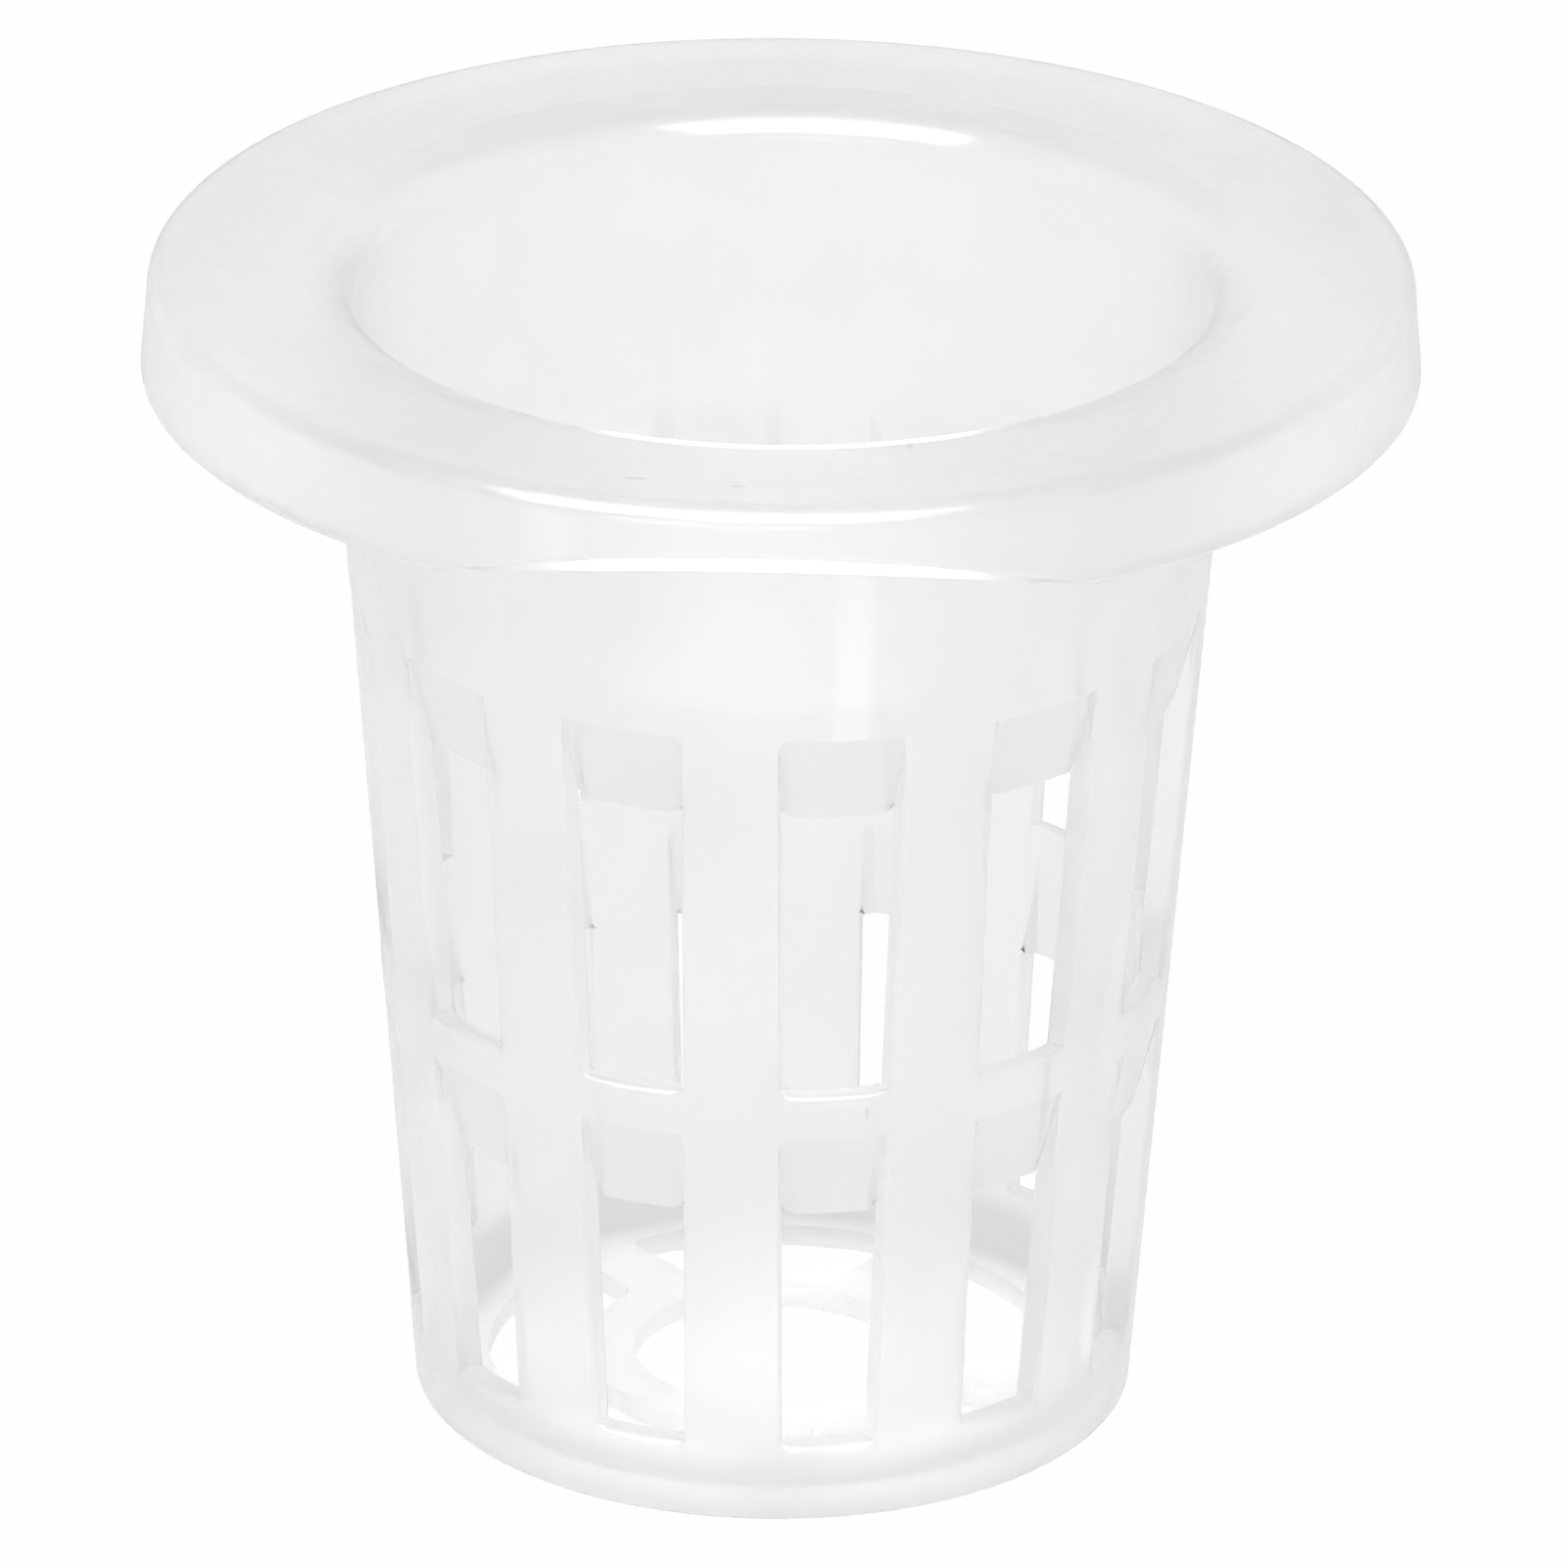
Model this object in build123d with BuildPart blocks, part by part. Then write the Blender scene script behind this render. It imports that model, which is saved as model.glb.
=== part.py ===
from build123d import *
import math
import os

# Hydroponic net pot: one injection-moulded cup that hangs by its rim in a round panel hole.
# Frame: millimetres, +Z up, origin at the centre of the underside, rim notch towards -Y.

# Rim: a flat flange with a skirt turned down at its edge
rim_diameter = 45.0
height = 42.8
flange_thickness = 1.0
skirt_height = 3.7
skirt_thickness = 0.9
skirt_flare = 0.3
fold_radius = 0.55
lip_radius = 1.4
seat_chamfer = 0.5

# Body: a tapered cup
neck_diameter = 32.2
base_diameter = 25.6
wall = 0.95
floor_thickness = 0.8
base_edge_chamfer = 0.35
inner_corner_chamfer = 0.5

# Cage: upright ribs with two rows of slots, parted by one ring
rib_count = 12
rib_width = 3.4
cage_turn = 10.5
bottom_band = 3.0
lower_slot_height = 12.4
ring_height = 1.7
upper_slot_height = 14.0
lintel_slant = 3.2
recess_rise = 4.4

# Notch scooped out of the skirt's lower edge, where a finger lifts the rim
notch_width = 22.7
notch_depth = 1.95

# Floor: a round drain hole inside a ring of smaller drain openings
drain_diameter = 10.0
opening_count = 5
opening_inner_diameter = 13.4
opening_outer_diameter = 20.4
spoke_width = 2.4
spoke_turn = 3.5
opening_corner_radius = 0.6

# How far a cutting shape reaches past the face that it cuts
overcut = 1.0

base_radius = base_diameter / 2
neck_radius = neck_diameter / 2
rim_radius = rim_diameter / 2
fold_reach = rim_radius - skirt_flare
taper = (neck_radius - base_radius) / height


def outer_radius(level):
    """Radius of the body's outside at a height above the underside."""
    return base_radius + taper * level


def inner_radius(level):
    """Radius of the body's inside at a height above the underside."""
    return outer_radius(level) - wall


# Cup, flange and skirt as one turned profile
under_flange = height - flange_thickness
skirt_edge = height - skirt_height
skirt_inside = rim_radius - skirt_thickness
profile_points = [
    (0, 0),
    (base_radius, 0),
    (outer_radius(under_flange), under_flange),
    (fold_reach - skirt_thickness, under_flange),
    (skirt_inside, skirt_edge),
    (rim_radius, skirt_edge),
    (fold_reach, height),
    (inner_radius(height), height),
    (inner_radius(floor_thickness), floor_thickness),
    (0, floor_thickness),
]
round_corners = {6: fold_radius, 7: lip_radius}
cut_corners = {1: base_edge_chamfer, 2: seat_chamfer, 8: inner_corner_chamfer}


def profile_corner(index):
    """The sketch's vertex at one of the profile's points."""
    return vertices().sort_by_distance((*profile_points[index], 0))[0]


with BuildPart() as net_pot:
    with BuildSketch(Plane.XZ):
        with BuildLine():
            Polyline(*profile_points, close=True)
        make_face()
        for index, radius in round_corners.items():
            fillet(profile_corner(index), radius)
        for index, length in cut_corners.items():
            chamfer(profile_corner(index), length)
    revolve(axis=Axis.Z)

# The rim's notch faces the front, and the cage and the spokes are turned from it by their own angles
front = -90
first_rib = front + cage_turn - 180 / rib_count
first_spoke = front + spoke_turn

# Slots: a ring cut for each row, left standing where the ribs are. The mould pulls straight up, so
# its core stands nearly upright in a slot, from the sill's outer edge, and runs on above the lintel
# as a shallow recess between the ribs, which fades out where it meets the cup's inside.
lower_lintel = bottom_band + lower_slot_height
upper_sill = lower_lintel + ring_height
slot_rows = [
    (bottom_band, lower_lintel),
    (upper_sill, upper_sill + upper_slot_height),
]

with BuildPart() as slots:
    for sill, lintel in slot_rows:
        recess_top = lintel + recess_rise
        core_lean = (inner_radius(recess_top) - outer_radius(sill)) / (recess_top - sill)
        # The lintel slants down inwards, from the wall's outside to its foot on the core
        foot = lintel - lintel_slant
        foot_radius = outer_radius(sill) + core_lean * (foot - sill)
        slant = lintel_slant / (outer_radius(lintel) - foot_radius)
        inside = inner_radius(sill) - overcut
        outside = outer_radius(lintel) + overcut
        with BuildSketch(Plane.XZ):
            with BuildLine():
                Polyline(
                    (inside, sill),
                    (outside, sill),
                    (outside, lintel + slant * overcut),
                    (foot_radius, foot),
                    (inner_radius(recess_top), recess_top),
                    (inside, recess_top),
                    close=True,
                )
            make_face()
        revolve(axis=Axis.Z)
    with BuildSketch():
        with PolarLocations(0, rib_count, start_angle=first_rib):
            Rectangle(neck_radius + 2 * overcut, rib_width, align=(Align.MIN, Align.CENTER))
    extrude(amount=height, mode=Mode.SUBTRACT)

# Drains: an annulus cut through the floor, left standing where the spokes are
with BuildPart() as drains:
    with BuildSketch(Plane.XY.offset(-overcut)):
        Circle(opening_outer_diameter / 2)
        Circle(opening_inner_diameter / 2, mode=Mode.SUBTRACT)
        with PolarLocations(0, opening_count, start_angle=first_spoke):
            Rectangle(
                opening_outer_diameter / 2 + overcut,
                spoke_width,
                align=(Align.MIN, Align.CENTER),
                mode=Mode.SUBTRACT,
            )
        fillet(vertices(), opening_corner_radius)
        Circle(drain_diameter / 2)
    extrude(amount=floor_thickness + 2 * overcut)

# Notch: a slanted cut across the front of the skirt, from one end of the notch to the other
notch_chord = math.sqrt(rim_radius**2 - (notch_width / 2) ** 2)
notch_rise = notch_depth / (rim_radius - notch_chord)
notch_front = rim_radius + overcut

with BuildPart() as notch:
    with BuildSketch(Plane.YZ):
        with BuildLine():
            Polyline(
                (-notch_chord, skirt_edge),
                (-notch_front, skirt_edge + notch_rise * (notch_front - notch_chord)),
                (-notch_front, skirt_edge - overcut),
                (-notch_chord, skirt_edge - overcut),
                close=True,
            )
        make_face()
    extrude(amount=notch_width / 2 + overcut, both=True)

with net_pot:
    add(slots.part, mode=Mode.SUBTRACT)
    add(drains.part, mode=Mode.SUBTRACT)
    add(notch.part, mode=Mode.SUBTRACT)

net_pot.part.label = "net_pot"
os.makedirs("parts", exist_ok=True)
export_step(net_pot.part, "parts/net_pot.step")
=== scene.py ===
"""Looks of a hydroponic net pot: a milky moulded cup with a slotted cage, on a white table.

Lengths are in millimetres and become the frame's metres through MM. Angles are in degrees.
"""
import bmesh
import bpy
import math
from collections import namedtuple
from mathutils import Matrix, Vector


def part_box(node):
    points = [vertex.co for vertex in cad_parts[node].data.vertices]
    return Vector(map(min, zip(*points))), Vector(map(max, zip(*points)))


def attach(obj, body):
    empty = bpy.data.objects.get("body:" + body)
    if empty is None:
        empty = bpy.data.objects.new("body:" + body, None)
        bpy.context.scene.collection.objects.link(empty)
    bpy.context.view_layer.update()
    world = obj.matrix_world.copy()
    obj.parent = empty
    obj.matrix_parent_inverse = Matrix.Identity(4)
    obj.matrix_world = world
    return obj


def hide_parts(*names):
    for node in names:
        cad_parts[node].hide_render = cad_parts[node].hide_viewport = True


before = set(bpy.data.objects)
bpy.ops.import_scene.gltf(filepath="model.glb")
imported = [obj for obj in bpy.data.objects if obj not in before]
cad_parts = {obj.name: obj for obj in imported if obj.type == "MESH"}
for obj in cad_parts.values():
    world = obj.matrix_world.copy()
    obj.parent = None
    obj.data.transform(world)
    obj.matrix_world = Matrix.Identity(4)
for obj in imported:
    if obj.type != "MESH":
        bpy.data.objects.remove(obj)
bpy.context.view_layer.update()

MM = 0.001
BODY = "root"
NODE = "net_pot"
AXIS = (0.0, 0.0)

# Rim, from the frame's own box and the moulding's wall
low_corner, high_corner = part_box(NODE)
RIM_RADIUS = (high_corner[0] - low_corner[0]) / 2 / MM
HEIGHT = high_corner[2] / MM
FLANGE = 1.0
SKIRT_HEIGHT = 3.7
SKIRT_THICKNESS = 0.9
SKIRT_FLARE = 0.3
FOLD_ROUND = 0.8
FOLD_INNER_ROUND = 0.15
MOUTH_EDGE = 16.84
LIP_DROP = 0.46
LIP_ROUND = 1.45
SEAT_ROUND = 0.6

# Cup
NECK_RADIUS = 16.1
BASE_RADIUS = 12.8
WALL = 0.95
FLOOR = 0.8
BASE_EDGE_ROUND = 0.3
FLOOR_CORNER_ROUND = 0.7

# Cage
RIBS = 12
RIB_WIDTH = 3.4
CAGE_TURN = 10.5
LOWER_SILL = 3.0
LOWER_LINTEL = 15.4
UPPER_SILL = 17.1
UPPER_LINTEL = 31.1
LINTEL_SLANT = 3.2
RECESS_RISE = 4.4
RECESS_STEP = 0.4

# Notch in the skirt
NOTCH_WIDTH = 22.7
NOTCH_DEPTH = 1.95
NOTCH_INNER_SHARE = 0.76

# Floor openings
DRAIN_RADIUS = 5.0
OPENINGS = 5
OPENING_INNER = 6.7
OPENING_OUTER = 10.2
SPOKE_WIDTH = 2.4
SPOKE_TURN = 3.5
OPENING_ROUND = 0.6

# Plastic: how much light it keeps where it is clear, a lighter floor of painted light, painted shade on the
# base's band, more at the back, and on the lintels' sloping faces, and how light passes through it
CLEAR_TONE = 0.973
FLOOR_PAINTED_LIGHT = 0.995
FLOOR_FADE = 1.5
BAND_PAINTED_SHADE = 0.92
BAND_BACK_PAINTED_SHADE = 0.89
BAND_BACK_SHADE_SHARE = 0.5
BAND_TOP = 1.6
LINTEL_PAINTED_SHADE = 0.945
PLASTIC_IOR = 1.2
THROUGH_SHARE = 0.85
MILK_SHARE = 0.12
COAT = 1.0
COAT_ROUGHNESS = 0.1

# Haze on what is seen at a slant, and the sheen on the near part of the rim
HAZE_SLANTS = (0.6, 0.95)
EDGE_HAZE = 0.9
BAND_HAZE = 0.4
HAZE_TONE = 0.96
HAZE_THROUGH = 0.55
RIM_SHEEN = 1.8
SHEEN_ROUGHNESS = 0.35
SHEEN_FULL = 0.75
SHEEN_NONE = 0.3

# Cloudiness of the colour and grain of the gloss
NOISE_SPAN = (0.3, 0.7)
CLOUD_SCALE = 260.0
CLOUD_DETAIL = 1.0
CLOUD_TONES = (0.985, 1.0)
GRAIN_SCALE = 2400.0
GRAIN_DETAIL = 0.0
GRAIN_ROUGHNESS = (0.48, 0.6)
GRAIN_BUMP = 0.25
GRAIN_DEPTH = 0.02

# Small dark specks: the middle and half lengths of each
SPECK_TONE = 0.82
SPECK_CORE = 0.6
SPECKS = (
    ((4.95, -16.3, 42.8), (0.13, 0.35, 0.3)),
    ((-4.3, -19.7, 42.8), (0.5, 0.12, 0.2)),
    ((-0.8, -20.2, 42.8), (0.35, 0.12, 0.2)),
    ((3.66, -13.57, 16.3), (0.09, 0.3, 0.28)),
)

# Table: how much of its white shows to straight rays, through plastic and to scattered light
TABLE_HALF = 1500.0
TABLE_GAP = 0.02
TABLE_TONE = 0.7
TABLE_STRAIGHT = 0.985
TABLE_THROUGH = 0.75
TABLE_SCATTERED = 0.7
SHADOW_MIDDLE = (0.0, 24.0)
SHADOW_REACH = 20.0
SHADOW_LEVEL = 0.3
UNDER_GLOW = 0.21
SHINE_MIDDLE = (0.0, -75.0)
SHINE_REACH = 60.0
SHINE = 0.4

# Tent of white cloth: its mean level, and how that changes to the right, to the back and upwards
WHITE = (1.0, 1.0, 1.0, 1.0)
TENT_LEVEL = 0.85
TENT_LEAN = (-0.03, -0.32, -0.32)

# Lamps: where each stands, the point it faces, its size, watts, if only the gloss shows it, and its spread
Softbox = namedtuple("Softbox", "name place target size power gloss_only spread", defaults=(180.0,))
SOFTBOXES = (
    Softbox("top_softbox", (-40, -220, 260), (0, 0, 40), (420, 260), 1.9, True),
    Softbox("front_softbox", (-40, -300, 35), (0, 0, 20), (200, 90), 0.13, False),
    Softbox("table_glint", (16.2, -47.2, 7.5), (2.7, -13.8, 30), (7.5, 15), 0.0006, True),
    Softbox("skirt_glint", (-67.7, -96.8, 15.6), (-7.4, -21.2, 41), (15, 25), 0.0014, True),
    Softbox("lip_glint", (0, 12.5, 39), (0, -16, 42.5), (10, 6), 0.0001, True, 45.0),
    Softbox("notch_glint", (0, -18, 31), (0, -22, 40), (14, 8), 0.0008, True, 80.0),
)

# Camera, as the photograph was taken
VIEW_TURN = 1.8
VIEW_ELEVATION = 23.9
VIEW_ROLL = 0.5
VIEW_DISTANCE = 650.0
PHOTO_PIXELS = 1601
PIXELS_PER_MM = 28.73
AIM = (0.0, 0.0, 21.0)
AIM_PIXEL = (793.2, 849.5)
SENSOR = 36.0

# Mesh: faces across half a rib, a slot and half a spoke, and how its edges are softened
RIB_COLUMNS = 3
SLOT_COLUMNS = 9
SPOKE_COLUMNS = 6
SILL_ROUND = 0.4
SILL_SEGMENTS = 3
EDGE_SHARE = 0.35
SMOOTH_ANGLE = 28.0
# The lintels' face mask, which carries the painted shade on them
LINTEL_MASK = "lintel"
NEAR_END = 0.12
CLOSE = 0.01

# Levels and reaches that follow from the sizes above
UNDER_FLANGE = HEIGHT - FLANGE
LIP_FOOT = HEIGHT - LIP_DROP
SKIRT_EDGE = HEIGHT - SKIRT_HEIGHT
FOLD_REACH = RIM_RADIUS - SKIRT_FLARE
LOWER_FOOT = LOWER_LINTEL - LINTEL_SLANT
UPPER_FOOT = UPPER_LINTEL - LINTEL_SLANT
RECESS_TOP = UPPER_LINTEL + RECESS_RISE
NOTCH_HALF = math.degrees(math.asin(NOTCH_WIDTH / 2 / RIM_RADIUS))
NOTCH_CHORD = math.sqrt(RIM_RADIUS ** 2 - (NOTCH_WIDTH / 2) ** 2)
NOTCH_RISE = NOTCH_DEPTH / (RIM_RADIUS - NOTCH_CHORD)

# Directions and columns of the mesh, counted from the middle of a rib near the front
FRONT = -90.0
PITCH = 360.0 / RIBS
FIRST_RIB = FRONT + CAGE_TURN - PITCH / 2
PER_RIB = 2 * RIB_COLUMNS + SLOT_COLUMNS
COLUMNS = RIBS * PER_RIB
SLOT_START = RIB_COLUMNS
SLOT_END = RIB_COLUMNS + SLOT_COLUMNS
PER_SPOKE = COLUMNS // OPENINGS
OPENING_END = PER_SPOKE - SPOKE_COLUMNS
FIRST_SPOKE = FRONT + SPOKE_TURN
SPOKE_PITCH = 360.0 / OPENINGS
EVEN_STEP = 360.0 / COLUMNS
SPOKE_SHIFT = round((FIRST_SPOKE - FIRST_RIB) / EVEN_STEP)


def outside(level):
    """The wall's outer radius at a height."""
    return BASE_RADIUS + (NECK_RADIUS - BASE_RADIUS) * level / HEIGHT


def inside(level):
    """The wall's inner radius at a height."""
    return outside(level) - WALL


def core(sill, lintel, level):
    """Radius of the slots' upright inner face, from the sill's outer edge to where the recess fades."""
    top = lintel + RECESS_RISE
    lean = (inside(top) - outside(sill)) / (top - sill)
    return max(inside(level), outside(sill) + lean * (level - sill))


# A place on the section: a point of each side, the zone and rows up to the next place, and its rounds
Station = namedtuple("Station", "outer inner zone rows rounds arc_rows", defaults=(None, 0))

# A row of the mesh: its points of the outer and inner side, and the zone up to the next row
Row = namedtuple("Row", "outer inner zone")

SLOT_ZONES = ("lower slot", "upper slot")
FLOOR_ZONES = ("floor", "opening")


def floor_station(radius, zone, rows=1):
    """A ring of the flat floor."""
    return Station((radius, 0.0), (radius, FLOOR), zone, rows)


def wall_station(outer_level, inner_level, zone, rows):
    """A ring of the cup's wall."""
    return Station((outside(outer_level), outer_level), (inside(inner_level), inner_level), zone, rows)


STATIONS = [
    floor_station(DRAIN_RADIUS, "floor", rows=2),
    floor_station(OPENING_INNER, "opening"),
    floor_station(OPENING_INNER + NEAR_END, "opening"),
    floor_station(OPENING_INNER + OPENING_ROUND / 2, "opening"),
    floor_station(OPENING_INNER + OPENING_ROUND, "opening", rows=4),
    floor_station(OPENING_OUTER - OPENING_ROUND, "opening"),
    floor_station(OPENING_OUTER - OPENING_ROUND / 2, "opening"),
    floor_station(OPENING_OUTER - NEAR_END, "opening"),
    floor_station(OPENING_OUTER, "floor"),
    Station((BASE_RADIUS, 0.0), (inside(FLOOR), FLOOR), "wall", rows=1,
            rounds=(BASE_EDGE_ROUND, FLOOR_CORNER_ROUND), arc_rows=4),
    wall_station(LOWER_SILL, LOWER_SILL, "lower slot", rows=4),
    wall_station(LOWER_LINTEL, LOWER_FOOT, "ring", rows=2),
    wall_station(UPPER_SILL, UPPER_SILL, "upper slot", rows=5),
    wall_station(UPPER_LINTEL, UPPER_FOOT, "recess", rows=4),
    wall_station(RECESS_TOP, RECESS_TOP, "wall", rows=3),
    Station((outside(UNDER_FLANGE), UNDER_FLANGE), (inside(LIP_FOOT), LIP_FOOT), "lip", rows=1,
            rounds=(SEAT_ROUND, LIP_ROUND), arc_rows=14),
    Station((MOUTH_EDGE + SEAT_ROUND, UNDER_FLANGE), (MOUTH_EDGE, HEIGHT), "flange", rows=4),
    Station((FOLD_REACH - SKIRT_THICKNESS, UNDER_FLANGE), (FOLD_REACH, HEIGHT), "skirt", rows=4,
            rounds=(FOLD_INNER_ROUND, FOLD_ROUND), arc_rows=10),
    Station((RIM_RADIUS - SKIRT_THICKNESS, SKIRT_EDGE), (RIM_RADIUS, SKIRT_EDGE), "edge", rows=0),
]


def round_corner(before, corner, after, radius, steps):
    """Points of an arc that rounds one corner of a profile."""
    corner = Vector(corner)
    back = (Vector(before) - corner).normalized()
    ahead = (Vector(after) - corner).normalized()
    half = back.angle(ahead) / 2
    centre = corner + (back + ahead).normalized() * radius / math.sin(half)
    start = corner + back * radius / math.tan(half) - centre
    end = corner + ahead * radius / math.tan(half) - centre
    turn = start.angle_signed(end)
    points = []
    for step in range(steps + 1):
        points.append(centre + Matrix.Rotation(-turn * step / steps, 2) @ start)
    return points


def station_points(index):
    """The points of one station on both sides: a pair, or the pairs of two arcs at a rounded corner."""
    station = STATIONS[index]
    if station.rounds is None:
        return [(Vector(station.outer), Vector(station.inner))]
    before = STATIONS[index - 1]
    after = STATIONS[index + 1]
    outer_round, inner_round = station.rounds
    outer_arc = round_corner(before.outer, station.outer, after.outer, outer_round, station.arc_rows)
    inner_arc = round_corner(before.inner, station.inner, after.inner, inner_round, station.arc_rows)
    return list(zip(outer_arc, inner_arc))


def section_rows():
    """The rows of the mesh, from the drain hole's edge to the skirt's edge."""
    ends = [station_points(index) for index in range(len(STATIONS))]
    rows = []
    for index, station in enumerate(STATIONS):
        for outer, inner in ends[index][:-1]:
            rows.append(Row(outer, inner, "round"))
        last_outer, last_inner = ends[index][-1]
        rows.append(Row(last_outer, last_inner, station.zone))
        for step in range(1, station.rows):
            share = step / station.rows
            next_outer, next_inner = ends[index + 1][0]
            between = (last_outer.lerp(next_outer, share), last_inner.lerp(next_inner, share))
            rows.append(Row(*between, station.zone))
    return rows


def wall_angle(place, radius):
    """Angle from a rib's middle to a column of the cage: half a rib, a slot, half a rib."""
    rib_half = math.degrees(math.asin(RIB_WIDTH / 2 / radius))
    if place <= SLOT_START:
        return rib_half * place / RIB_COLUMNS
    if place >= SLOT_END:
        return PITCH - rib_half * (PER_RIB - place) / RIB_COLUMNS
    step = math.degrees(RECESS_STEP / radius)
    first = rib_half + step
    last = PITCH - first
    return first + (last - first) * (place - SLOT_START - 1) / (SLOT_COLUMNS - 2)


def spoke_edge(radius):
    """Angle from a spoke's middle to its edge, with the openings' corners rounded."""
    held = min(max(radius, OPENING_INNER), OPENING_OUTER)
    to_end = min(held - OPENING_INNER, OPENING_OUTER - held)
    short = max(0.0, OPENING_ROUND - to_end)
    rounding = OPENING_ROUND - math.sqrt(OPENING_ROUND ** 2 - short ** 2)
    edge = math.degrees(math.asin(SPOKE_WIDTH / 2 / held) + rounding / held)
    if radius < OPENING_INNER:
        even = SPOKE_COLUMNS * EVEN_STEP
        edge = even + (edge - even) * (radius - DRAIN_RADIUS) / (OPENING_INNER - DRAIN_RADIUS)
    return edge


def floor_angle(column, radius):
    """Direction of a column of the floor: half a spoke, an opening, half a spoke."""
    spoke, place = divmod((column - SPOKE_SHIFT) % COLUMNS, PER_SPOKE)
    edge = spoke_edge(radius)
    if place <= SPOKE_COLUMNS:
        turn = edge * place / SPOKE_COLUMNS
    elif place >= OPENING_END:
        turn = SPOKE_PITCH - edge * (PER_SPOKE - place) / SPOKE_COLUMNS
    else:
        turn = edge + (SPOKE_PITCH - 2 * edge) * (place - SPOKE_COLUMNS) / (OPENING_END - SPOKE_COLUMNS)
    return FIRST_SPOKE + SPOKE_PITCH * spoke + turn


def column_angle(column, radius, level):
    """Direction of a column of the mesh at a place on the section."""
    if level < FLOOR + CLOSE and radius < OPENING_OUTER + CLOSE:
        return floor_angle(column, radius)
    rib, place = divmod(column, PER_RIB)
    return FIRST_RIB + PITCH * rib + wall_angle(place, min(radius, NECK_RADIUS))


def snapped_to_notch(angle):
    """Moves the column nearest to each end of the notch onto that end."""
    for end in (FRONT - NOTCH_HALF, FRONT + NOTCH_HALF):
        away = (angle - end + 180.0) % 360.0 - 180.0
        if abs(away) < PITCH / PER_RIB / 2:
            return end
    return angle


def is_open(column, zone):
    """Whether the face after this column is cut out in this zone of the section."""
    if zone in SLOT_ZONES:
        return SLOT_START <= column % PER_RIB < SLOT_END
    if zone == "opening":
        return SPOKE_COLUMNS <= (column - SPOKE_SHIFT) % PER_SPOKE < OPENING_END
    return False


def is_kept(rows, index, column):
    """Whether the wall stands between a row and the next one, after a column."""
    if not 0 <= index < len(rows) - 1:
        return False
    return not is_open(column % COLUMNS, rows[index].zone)


def in_recess(place, level):
    """Radius of the cup's inside between the ribs, where the core stands out of the wall."""
    if not SLOT_START < place < SLOT_END:
        return inside(level)
    if LOWER_FOOT - CLOSE <= level <= UPPER_SILL + CLOSE:
        return core(LOWER_SILL, LOWER_LINTEL, level)
    if UPPER_FOOT - CLOSE <= level <= RECESS_TOP + CLOSE:
        return core(UPPER_SILL, UPPER_LINTEL, level)
    return inside(level)


def shell_point(point, column, side, skirt):
    """A vertex of the shell. On the skirt, skirt holds its top point, edge point and the share down it."""
    radius, level = point
    angle = column_angle(column, radius, level)
    if side == "inner" and LOWER_SILL < level < RECESS_TOP + CLOSE:
        radius = in_recess(column % PER_RIB, level)
    on_flange = level > UNDER_FLANGE - SEAT_ROUND and radius > NECK_RADIUS + SEAT_ROUND
    if on_flange or skirt:
        angle = snapped_to_notch(angle)
    turn = math.radians(angle)
    if skirt:
        top, edge, share = skirt
        reach = -edge[0] * math.sin(turn)
        lift = max(0.0, (reach - NOTCH_CHORD) * NOTCH_RISE)
        # The cup's outer side runs on under the flange and becomes the skirt's inner face
        if side == "outer":
            lift *= NOTCH_INNER_SHARE
        edge_level = SKIRT_EDGE + lift
        level = top[1] + (edge_level - top[1]) * share
        radius = top[0] + (edge[0] - top[0]) * (top[1] - level) / (top[1] - edge[1])
    return Vector((radius * math.cos(turn), radius * math.sin(turn), level))


def make_skin(grid, rows, side):
    """One side of the shell, as rings of vertices."""
    points = [getattr(row, side) for row in rows]
    skirt_top = max(index for index, row in enumerate(rows) if row.zone == "round") + 1
    last = len(rows) - 1
    skin = []
    for index, point in enumerate(points):
        skirt = None
        if index > skirt_top:
            share = (index - skirt_top) / (last - skirt_top)
            skirt = (points[skirt_top], points[last], share)
        ring = []
        for column in range(COLUMNS):
            ring.append(grid.verts.new(shell_point(point, column, side, skirt) * MM))
        skin.append(ring)
    return skin


def join_skins(grid, rows, outer, inner):
    """Faces of both skins and across the wall. Returns edges to round, to keep sharp, and of the sills."""
    lintel_shade_layer = grid.faces.layers.float.new(LINTEL_MASK)
    rounded = []
    creased = []
    sills = []
    for index, row in enumerate(rows):
        below = rows[index - 1].zone
        for column in range(COLUMNS):
            after = (column + 1) % COLUMNS
            outer_edge = (outer[index][column], outer[index][after])
            inner_edge = (inner[index][column], inner[index][after])
            stands = is_kept(rows, index, column)
            if stands:
                grid.faces.new((*outer_edge, outer[index + 1][after], outer[index + 1][column]))
                grid.faces.new((inner[index][column], inner[index + 1][column],
                                inner[index + 1][after], inner[index][after]))
            if below == "lip":
                creased.append(inner_edge)
            # A face across the wall along this row, where the wall stands on one side of it only
            if stands != is_kept(rows, index - 1, column):
                across = grid.faces.new((*outer_edge, inner_edge[1], inner_edge[0]))
                is_lintel = below in SLOT_ZONES
                # Lintel faces are marked for the painted shade on them
                if is_lintel:
                    across[lintel_shade_layer] = 1.0
                is_sharp = is_lintel or row.zone in FLOOR_ZONES
                (creased if is_sharp else rounded).extend((outer_edge, inner_edge))
                if row.zone in SLOT_ZONES:
                    sills.append(outer_edge)
            # A face across the wall along this column
            if stands != is_kept(rows, index, column - 1):
                outer_side = (outer[index][column], outer[index + 1][column])
                inner_side = (inner[index][column], inner[index + 1][column])
                grid.faces.new((*outer_side, inner_side[1], inner_side[0]))
                is_sharp = row.zone == "opening"
                (creased if is_sharp else rounded).extend((outer_side, inner_side))
    return rounded, creased, sills


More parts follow.
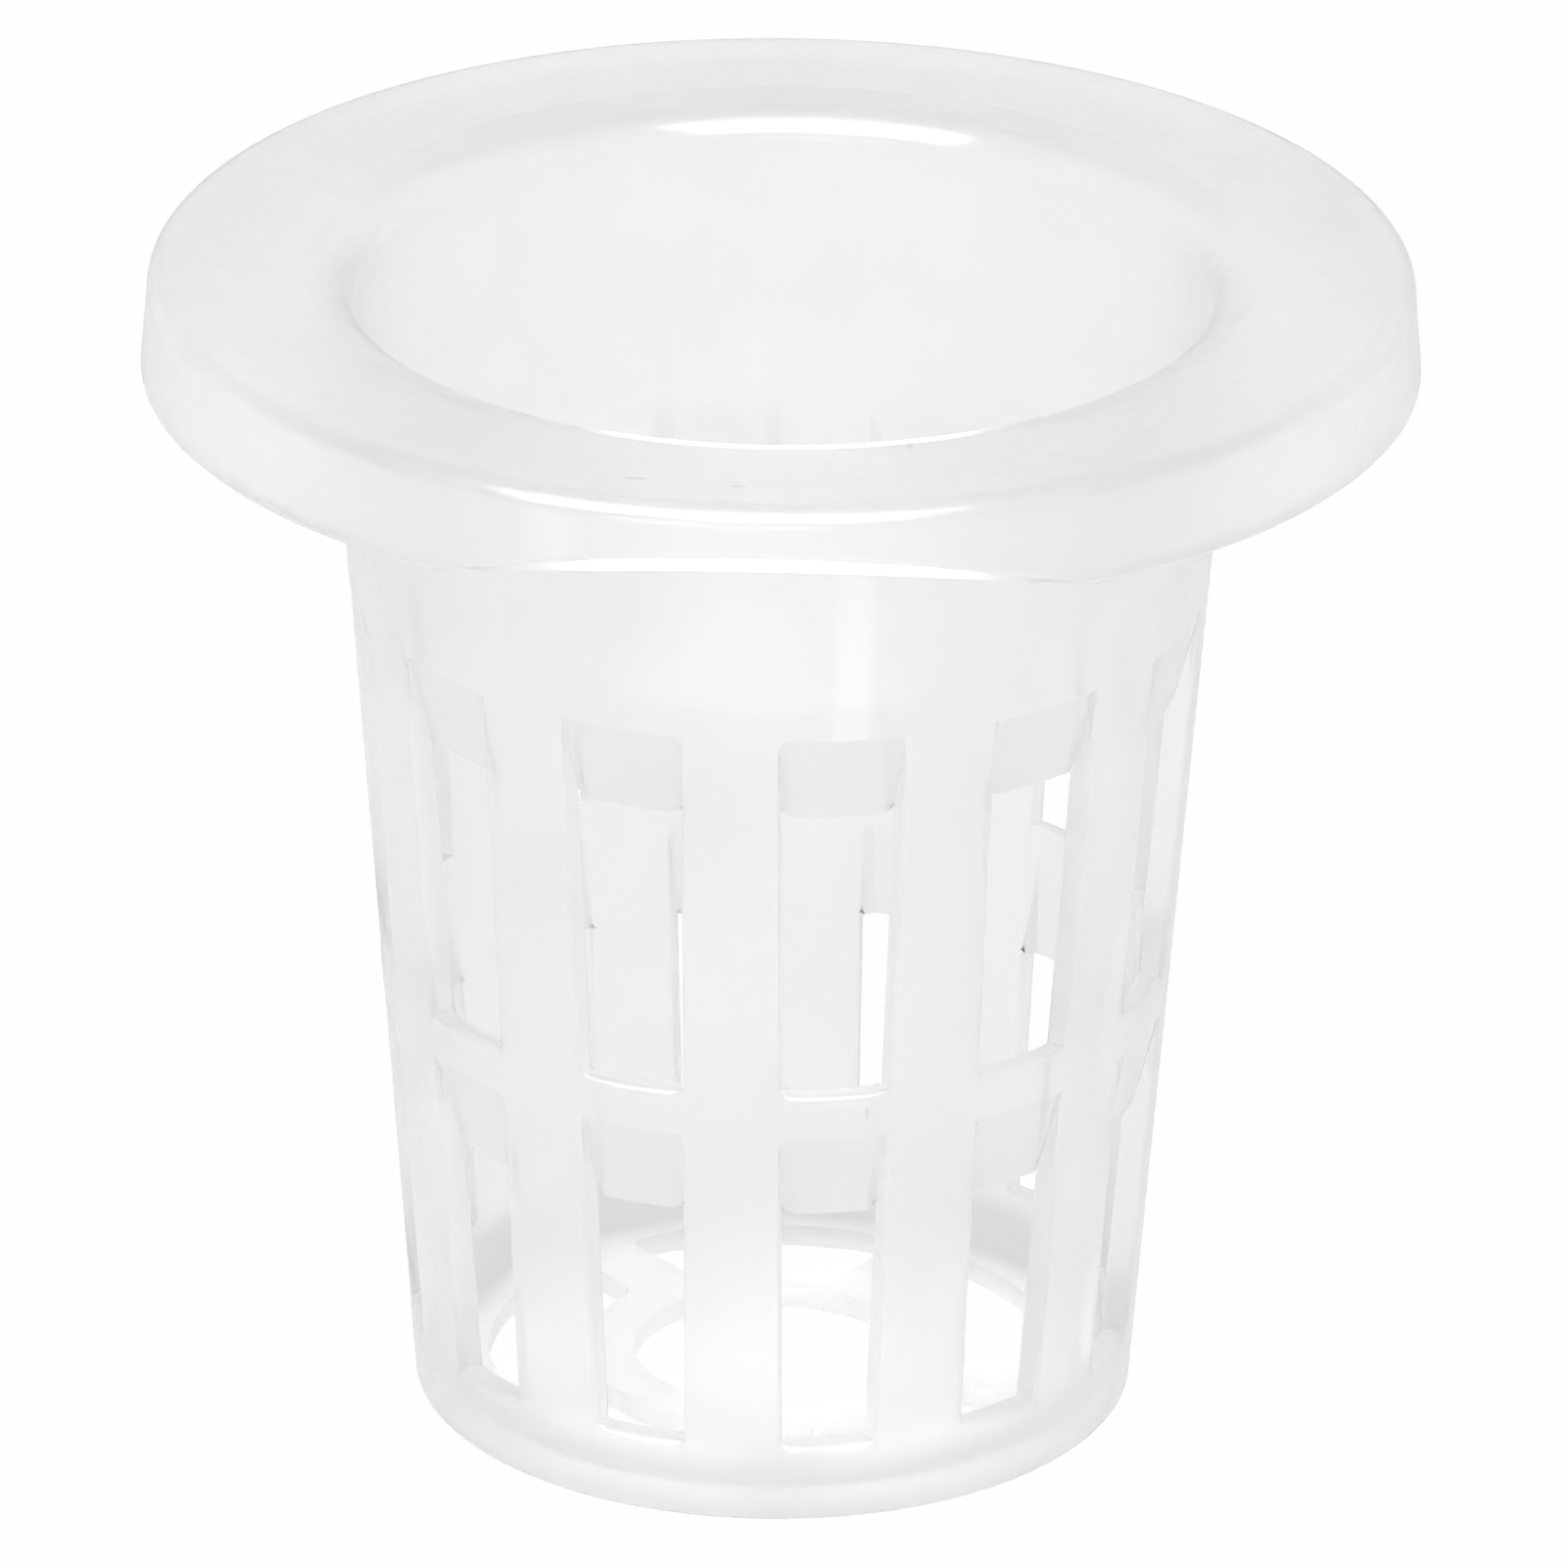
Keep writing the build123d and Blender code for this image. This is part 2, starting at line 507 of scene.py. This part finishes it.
def build_shell(mesh):
    """The moulded shell: two skins of one grid, joined round every slot, opening and edge."""
    rows = section_rows()
    grid = bmesh.new()
    outer = make_skin(grid, rows, "outer")
    inner = make_skin(grid, rows, "inner")
    rounded, creased, sills = join_skins(grid, rows, outer, inner)
    bmesh.ops.recalc_face_normals(grid, faces=grid.faces)
    loose = [vertex for vertex in grid.verts if not vertex.link_faces]
    bmesh.ops.delete(grid, geom=loose, context="VERTS")
    weight = grid.edges.layers.float.new("bevel_weight_edge")
    for edge in grid.edges:
        edge.smooth = edge.calc_face_angle(0.0) < math.radians(SMOOTH_ANGLE)
    for pairs, value in ((rounded, EDGE_SHARE), (creased, 0.0), (sills, 1.0)):
        for pair in pairs:
            edge = grid.edges.get(pair)
            edge[weight] = value
            edge.smooth = value > 0.0
    for face in grid.faces:
        face.smooth = True
    grid.to_mesh(mesh)
    grid.free()


def make_pot(material):
    """The pot's visible mesh, in the place of the solid."""
    mesh = bpy.data.meshes.new("pot_shell")
    build_shell(mesh)
    mesh.materials.append(material)
    pot = bpy.data.objects.new("pot_shell", mesh)
    bpy.context.scene.collection.objects.link(pot)
    edges = pot.modifiers.new("edges", "BEVEL")
    edges.width = SILL_ROUND * MM
    edges.segments = SILL_SEGMENTS
    edges.limit_method = "WEIGHT"
    edges.use_clamp_overlap = False
    edges.harden_normals = True
    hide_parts(NODE)
    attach(pot, BODY)


RISE = (0.0, 1.0)
FALL = (1.0, 0.0)


def span(low, high):
    """A range of lengths, in the frame's metres."""
    return low * MM, high * MM


def grey(level):
    """A plain grey colour."""
    return level, level, level, 1.0


class Shading:
    """A node tree, with short ways to add nodes and join their sockets."""

    def __init__(self, owner):
        owner.use_nodes = True
        self.nodes = owner.node_tree.nodes
        self.links = owner.node_tree.links

    def feed(self, node, feeds):
        """Gives each named socket of a node a plain value or another node's output."""
        for socket, value in feeds.items():
            if isinstance(value, bpy.types.NodeSocket):
                self.links.new(value, node.inputs[socket])
            else:
                node.inputs[socket].default_value = value

    def add(self, kind, feeds=None, **settings):
        """A new node, with its settings and what feeds its sockets."""
        node = self.nodes.new(kind)
        for setting, value in settings.items():
            setattr(node, setting, value)
        self.feed(node, feeds or {})
        return node

    def maths(self, operation, first, second):
        """The result of a sum on two values."""
        return self.add("ShaderNodeMath", {0: first, 1: second}, operation=operation).outputs[0]

    def multiply(self, first, second):
        """The product of two values."""
        return self.maths("MULTIPLY", first, second)

    def highest(self, first, second):
        """The higher of two values."""
        return self.maths("MAXIMUM", first, second)

    def vectors(self, operation, first, second):
        """The node of a sum on two vectors."""
        return self.add("ShaderNodeVectorMath", {0: first, 1: second}, operation=operation)

    def distance(self, place, point):
        """The distance from a point of the level plane, given in millimetres."""
        level_point = Vector((*point, 0.0)) * MM
        return self.vectors("DISTANCE", place, level_point).outputs["Value"]

    def smooth(self, value, source, target):
        """A value taken smoothly from one range to another."""
        feeds = {
            "Value": value,
            "From Min": source[0],
            "From Max": source[1],
            "To Min": target[0],
            "To Max": target[1],
        }
        return self.add("ShaderNodeMapRange", feeds, interpolation_type="SMOOTHSTEP").outputs["Result"]

    def shaded(self, tone, mask, share):
        """A tone that falls to a share of itself where a mask is 1."""
        return self.multiply(tone, self.smooth(mask, RISE, (1.0, share)))

    def noise(self, place, scale, detail):
        """An even noise from 0 to 1."""
        feeds = {"Vector": place, "Scale": scale, "Detail": detail}
        return self.add("ShaderNodeTexNoise", feeds).outputs["Fac"]

    def mixed(self, share, first, second):
        """Two shaders mixed by the second one's share."""
        return self.add("ShaderNodeMixShader", {0: share, 1: first, 2: second}).outputs[0]


def base_band(tree, split):
    """A mask of the band round the base, below the lower slots, that carries painted shade and haze."""
    flat = tree.add("ShaderNodeCombineXYZ", {"X": split["X"], "Y": split["Y"]}).outputs[0]
    low = tree.smooth(split["Z"], span(BAND_TOP, LOWER_SILL), FALL)
    wide = tree.smooth(tree.distance(flat, AXIS), span(OPENING_OUTER, BASE_RADIUS - WALL), RISE)
    return tree.multiply(low, wide)


def speck(tree, place, middle, half_lengths):
    """A mask that is 1 inside a small soft ellipsoid."""
    offset = tree.vectors("SUBTRACT", place, Vector(middle) * MM).outputs[0]
    scaled = tree.vectors("DIVIDE", offset, Vector(half_lengths) * MM).outputs[0]
    length = tree.add("ShaderNodeVectorMath", {0: scaled}, operation="LENGTH").outputs["Value"]
    return tree.smooth(length, (SPECK_CORE, 1.0), FALL)


def plastic_tone(tree, place, split, band):
    """How much light the plastic keeps: painted lighter on the floor, with painted shade on the base's band,
    more towards the back, and on the lintels, and less in the clouds and the specks.
    """
    # Painted light: the plastic lighter up to the floor's top, fading above it
    tone = tree.smooth(split["Z"], span(FLOOR, FLOOR_FADE * FLOOR), (FLOOR_PAINTED_LIGHT, CLEAR_TONE))
    lintel = tree.add("ShaderNodeAttribute", attribute_name=LINTEL_MASK).outputs["Fac"]
    half = BAND_BACK_SHADE_SHARE * BASE_RADIUS
    painted_shade_behind = tree.smooth(split["Y"], span(-half, half), RISE)
    # Painted shade on the band round the base
    tone = tree.shaded(tone, band, BAND_PAINTED_SHADE)
    # Painted shade on the lintels' sloping faces, which face down
    tone = tree.shaded(tone, lintel, LINTEL_PAINTED_SHADE)
    # More painted shade on the band towards the back, where the pot's shade falls
    tone = tree.shaded(tone, tree.multiply(band, painted_shade_behind), BAND_BACK_PAINTED_SHADE)
    cloud = tree.noise(place, CLOUD_SCALE, CLOUD_DETAIL)
    tone = tree.multiply(tone, tree.smooth(cloud, NOISE_SPAN, CLOUD_TONES))
    for middle, half_lengths in SPECKS:
        tone = tree.shaded(tone, speck(tree, place, middle, half_lengths), SPECK_TONE)
    return tone


def hazy_skin(tree, split, ripple):
    """The plastic seen at a slant: matt and glowing, with a soft sheen on the near part of the rim."""
    matt = tree.add("ShaderNodeBsdfDiffuse", {"Color": grey(HAZE_TONE)}).outputs[0]
    glow = tree.add("ShaderNodeBsdfTranslucent", {"Color": grey(HAZE_TONE)}).outputs[0]
    haze = tree.mixed(HAZE_THROUGH, matt, glow)
    sheen = tree.add("ShaderNodeBsdfGlossy", {"Roughness": SHEEN_ROUGHNESS, "Normal": ripple}).outputs[0]
    at_rim = tree.smooth(split["Z"], span(RECESS_TOP, SKIRT_EDGE), RISE)
    nearby = tree.smooth(split["Y"], span(-SHEEN_FULL * NECK_RADIUS, -SHEEN_NONE * NECK_RADIUS), FALL)
    mirrored = tree.multiply(tree.add("ShaderNodeFresnel").outputs[0], RIM_SHEEN)
    return tree.mixed(tree.multiply(mirrored, tree.multiply(at_rim, nearby)), haze, sheen)


def milky_plastic():
    """Natural polypropylene: milky, soft gloss, light passes through it and blurs."""
    material = bpy.data.materials.new("milky_plastic")
    tree = Shading(material)
    place = tree.add("ShaderNodeTexCoord").outputs["Object"]
    split = tree.add("ShaderNodeSeparateXYZ", {0: place}).outputs
    band = base_band(tree, split)
    tone = plastic_tone(tree, place, split, band)
    grain = tree.noise(place, GRAIN_SCALE, GRAIN_DETAIL)
    bump = {"Strength": GRAIN_BUMP, "Distance": GRAIN_DEPTH * MM, "Height": grain}
    ripple = tree.add("ShaderNodeBump", bump).outputs["Normal"]
    shader = tree.nodes["Principled BSDF"]
    tree.feed(shader, {
        "Base Color": tone,
        "Roughness": tree.smooth(grain, NOISE_SPAN, GRAIN_ROUGHNESS),
        "IOR": PLASTIC_IOR,
        "Transmission Weight": THROUGH_SHARE,
        "Coat Weight": COAT,
        "Coat Roughness": COAT_ROUGHNESS,
        "Coat Normal": ripple,
    })
    milk = tree.add("ShaderNodeBsdfTranslucent", {"Color": tone}).outputs[0]
    clear = tree.mixed(MILK_SHARE, shader.outputs[0], milk)

    # Seen at a slant, and in the band round the base, the outside looks hazy rather than clear
    slant = tree.add("ShaderNodeLayerWeight").outputs["Facing"]
    at_edge = tree.smooth(slant, HAZE_SLANTS, (0.0, EDGE_HAZE))
    in_haze = tree.highest(at_edge, tree.multiply(band, BAND_HAZE))
    back_side = tree.add("ShaderNodeNewGeometry").outputs["Backfacing"]
    front_side = tree.maths("SUBTRACT", 1.0, back_side)
    hazy = hazy_skin(tree, split, ripple)
    surface = tree.mixed(tree.multiply(in_haze, front_side), clear, hazy)
    tree.feed(tree.nodes["Material Output"], {"Surface": surface})
    return material


def white_table():
    """The table's white: plain to the eye, shaded behind the pot in scattered light, brightest under it."""
    material = bpy.data.materials.new("white_table")
    tree = Shading(material)
    tree.nodes.remove(tree.nodes["Principled BSDF"])
    place = tree.add("ShaderNodeTexCoord").outputs["Object"]
    path = tree.add("ShaderNodeLightPath").outputs
    straight = tree.highest(path["Is Camera Ray"], path["Is Glossy Ray"])

    # How much of the white shows in place of the lit surface
    through = tree.multiply(path["Is Transmission Ray"], TABLE_THROUGH)
    shown = tree.highest(tree.multiply(straight, TABLE_STRAIGHT), through)
    shown = tree.highest(shown, TABLE_SCATTERED)
    from_centre = tree.distance(place, AXIS)
    under = tree.smooth(from_centre, span(OPENING_OUTER, BASE_RADIUS), (TABLE_STRAIGHT, 0.0))

    # How strong the white is
    from_shadow = tree.distance(place, SHADOW_MIDDLE)
    shadow = tree.smooth(from_shadow, span(0.0, SHADOW_REACH), (SHADOW_LEVEL, 1.0))
    from_shine = tree.distance(place, SHINE_MIDDLE)
    shine = tree.smooth(from_shine, span(0.0, SHINE_REACH), (SHINE, 0.0))
    shine = tree.multiply(shine, path["Is Glossy Ray"])
    glow = tree.multiply(tree.multiply(under, UNDER_GLOW), path["Is Transmission Ray"])
    strength = tree.highest(shadow, straight)
    strength = tree.maths("ADD", strength, tree.maths("ADD", glow, shine))

    white = tree.add("ShaderNodeEmission", {"Strength": strength}).outputs[0]
    lit = tree.add("ShaderNodeBsdfDiffuse", {"Color": grey(TABLE_TONE)}).outputs[0]
    surface = tree.mixed(tree.highest(shown, under), lit, white)
    tree.feed(tree.nodes["Material Output"], {"Surface": surface})
    return material


def make_table():
    """The table that the pot stands on."""
    half = TABLE_HALF * MM
    corners = [(-half, -half, 0), (half, -half, 0), (half, half, 0), (-half, half, 0)]
    mesh = bpy.data.meshes.new("table")
    mesh.from_pydata(corners, [], [(0, 1, 2, 3)])
    mesh.materials.append(white_table())
    table = bpy.data.objects.new("table", mesh)
    table.location.z = -TABLE_GAP * MM
    bpy.context.scene.collection.objects.link(table)


def make_world():
    """White surroundings, with scattered light that is brighter from the front than from above and behind."""
    world = bpy.data.worlds.new("white_tent")
    bpy.context.scene.world = world
    tree = Shading(world)
    direction = tree.add("ShaderNodeTexCoord").outputs["Generated"]
    lean = tree.vectors("DOT_PRODUCT", direction, TENT_LEAN).outputs["Value"]
    scattered = tree.maths("ADD", lean, TENT_LEVEL)
    path = tree.add("ShaderNodeLightPath").outputs
    seen = tree.highest(path["Is Camera Ray"], path["Is Glossy Ray"])
    seen = tree.highest(seen, path["Is Transmission Ray"])
    seen = tree.maths("SUBTRACT", seen, path["Is Diffuse Ray"])
    strength = tree.add("ShaderNodeMix", {"Factor": seen, "A": scattered, "B": 1.0}).outputs["Result"]
    tree.feed(tree.nodes["Background"], {"Color": WHITE, "Strength": strength})


def make_softbox(softbox):
    """A soft lamp that faces a point of the pot, and lights it or only shows in its gloss."""
    lamp = bpy.data.lights.new(softbox.name, "AREA")
    lamp.shape = "RECTANGLE"
    lamp.size = softbox.size[0] * MM
    lamp.size_y = softbox.size[1] * MM
    lamp.energy = softbox.power
    lamp.spread = math.radians(softbox.spread)
    stand = bpy.data.objects.new(softbox.name, lamp)
    stand.location = Vector(softbox.place) * MM
    facing = Vector(softbox.target) - Vector(softbox.place)
    stand.rotation_euler = facing.to_track_quat("-Z", "Y").to_euler()
    stand.visible_camera = False
    stand.visible_diffuse = not softbox.gloss_only
    stand.visible_transmission = False
    bpy.context.scene.collection.objects.link(stand)


def make_camera():
    """A long lens that looks down on the notch."""
    turn = math.radians(VIEW_TURN)
    elevation = math.radians(VIEW_ELEVATION)
    roll = math.radians(VIEW_ROLL)
    level = Vector((math.cos(turn), math.sin(turn), 0.0))
    towards = Vector((math.sin(turn), -math.cos(turn), 0.0))
    back = towards * math.cos(elevation) + Vector((0.0, 0.0, math.sin(elevation)))
    upright = back.cross(level)
    right = level * math.cos(roll) + upright * math.sin(roll)
    up = back.cross(right)
    eye = Vector(AIM) + back * VIEW_DISTANCE
    across = (PHOTO_PIXELS / 2 - AIM_PIXEL[0]) / PIXELS_PER_MM
    above = (AIM_PIXEL[1] - PHOTO_PIXELS / 2) / PIXELS_PER_MM
    look = Vector(AIM) + right * across + up * above
    facing = (eye - look).normalized()
    side = (right - facing * right.dot(facing)).normalized()
    top = facing.cross(side)
    lens = bpy.data.cameras.new("camera")
    lens.sensor_width = SENSOR
    lens.lens = SENSOR * VIEW_DISTANCE * PIXELS_PER_MM / PHOTO_PIXELS
    camera = bpy.data.objects.new("camera", lens)
    camera.matrix_world = Matrix((
        (side.x, top.x, facing.x, eye.x * MM),
        (side.y, top.y, facing.y, eye.y * MM),
        (side.z, top.z, facing.z, eye.z * MM),
        (0, 0, 0, 1),
    ))
    bpy.context.scene.collection.objects.link(camera)
    bpy.context.scene.camera = camera


bpy.context.scene.view_settings.view_transform = "Standard"
make_pot(milky_plastic())
make_table()
make_world()
for softbox in SOFTBOXES:
    make_softbox(softbox)
make_camera()
